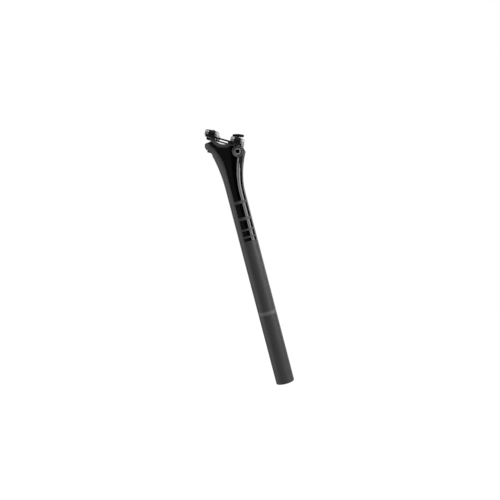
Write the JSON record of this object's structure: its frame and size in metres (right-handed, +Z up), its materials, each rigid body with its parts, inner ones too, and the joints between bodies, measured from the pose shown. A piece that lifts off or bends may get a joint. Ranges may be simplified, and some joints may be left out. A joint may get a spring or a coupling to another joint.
{
  "type": "bicycle seatpost",
  "caption": "Straight tubular bicycle seatpost flaring into a zero-setback head with a rocking saddle clamp set by a front thumb screw and a rear socket screw.",
  "frame": {"origin": "centre of the tube's lower end", "axes": "+Z up along the tube to the saddle clamp, +X to the front of the bicycle, +Y to its left"},
  "size_m": [0.0594, 0.0546, 0.3857],
  "materials": {
    "composite": "satin dark composite with gloss black panels and a pale ring",
    "cradle_alloy": "satin dark anodised",
    "black_alloy": "black anodised",
    "bright_alloy": "bright machined",
    "grey_alloy": "grey anodised",
    "screw_metal": "turned metal",
    "black_steel": "black oxide"
  },
  "bodies": {
    "post": {"post_body": "composite"},
    "clamp": {"lower_cradle": "cradle_alloy", "front_crossbar": "black_alloy", "rear_crossbar": "black_alloy", "front_left_shoe": "bright_alloy", "front_right_shoe": "bright_alloy", "rear_left_shoe": "bright_alloy", "rear_right_shoe": "bright_alloy"},
    "front_nut": {"front_barrel_nut": "grey_alloy"},
    "front_collar": {"front_washer": "grey_alloy"},
    "front_screw": {"front_screw": "screw_metal", "thumb_wheel": "black_alloy"},
    "rear_screw": {"rear_screw": "black_steel", "rear_washer": "grey_alloy"},
    "rear_nut": {"rear_nut": "grey_alloy"}
  },
  "joints": [
    {"name": "saddle_tilt", "type": "hinge", "parent": "post", "child": "clamp", "pos_m": [0.006, 0, 0.378], "axis": [0, -1, 0], "range_deg": [-3, 8]},
    {"name": "front_nut_swing", "type": "hinge", "parent": "post", "child": "front_nut", "pos_m": [0.0171, 0, 0.3456], "axis": [0, 1, 0], "range_deg": [-1.51, 3.87]},
    {"name": "front_screw_travel", "type": "slide", "parent": "front_nut", "child": "front_collar", "axis": [0.2985, 0, 0.9544], "range_m": [-0.00113, 0.00295]},
    {"name": "thumb_wheel_turn", "type": "hinge", "parent": "front_collar", "child": "front_screw", "pos_m": [0.0171, 0, 0.3456], "axis": [0.2985, 0, 0.9544], "continuous": true},
    {"name": "rear_screw_swing", "type": "hinge", "parent": "post", "child": "rear_screw", "pos_m": [-0.0192, 0, 0.3609], "axis": [0, 1, 0], "range_deg": [-0.82, 2.03]},
    {"name": "rear_nut_turn", "type": "hinge", "parent": "clamp", "child": "rear_nut", "pos_m": [-0.00991, 0, 0.38084], "axis": [0, 1, 0], "range_deg": [-3.82, 10.03]}
  ],
  "couplings": [
    {"joint": "front_nut_swing", "follows": "saddle_tilt", "ratio": 0.47149},
    {"joint": "front_screw_travel", "follows": "saddle_tilt", "m_per_rad": 0.020928},
    {"joint": "rear_screw_swing", "follows": "saddle_tilt", "ratio": 0.24077},
    {"joint": "rear_nut_turn", "follows": "saddle_tilt", "ratio": 1.2408}
  ]
}
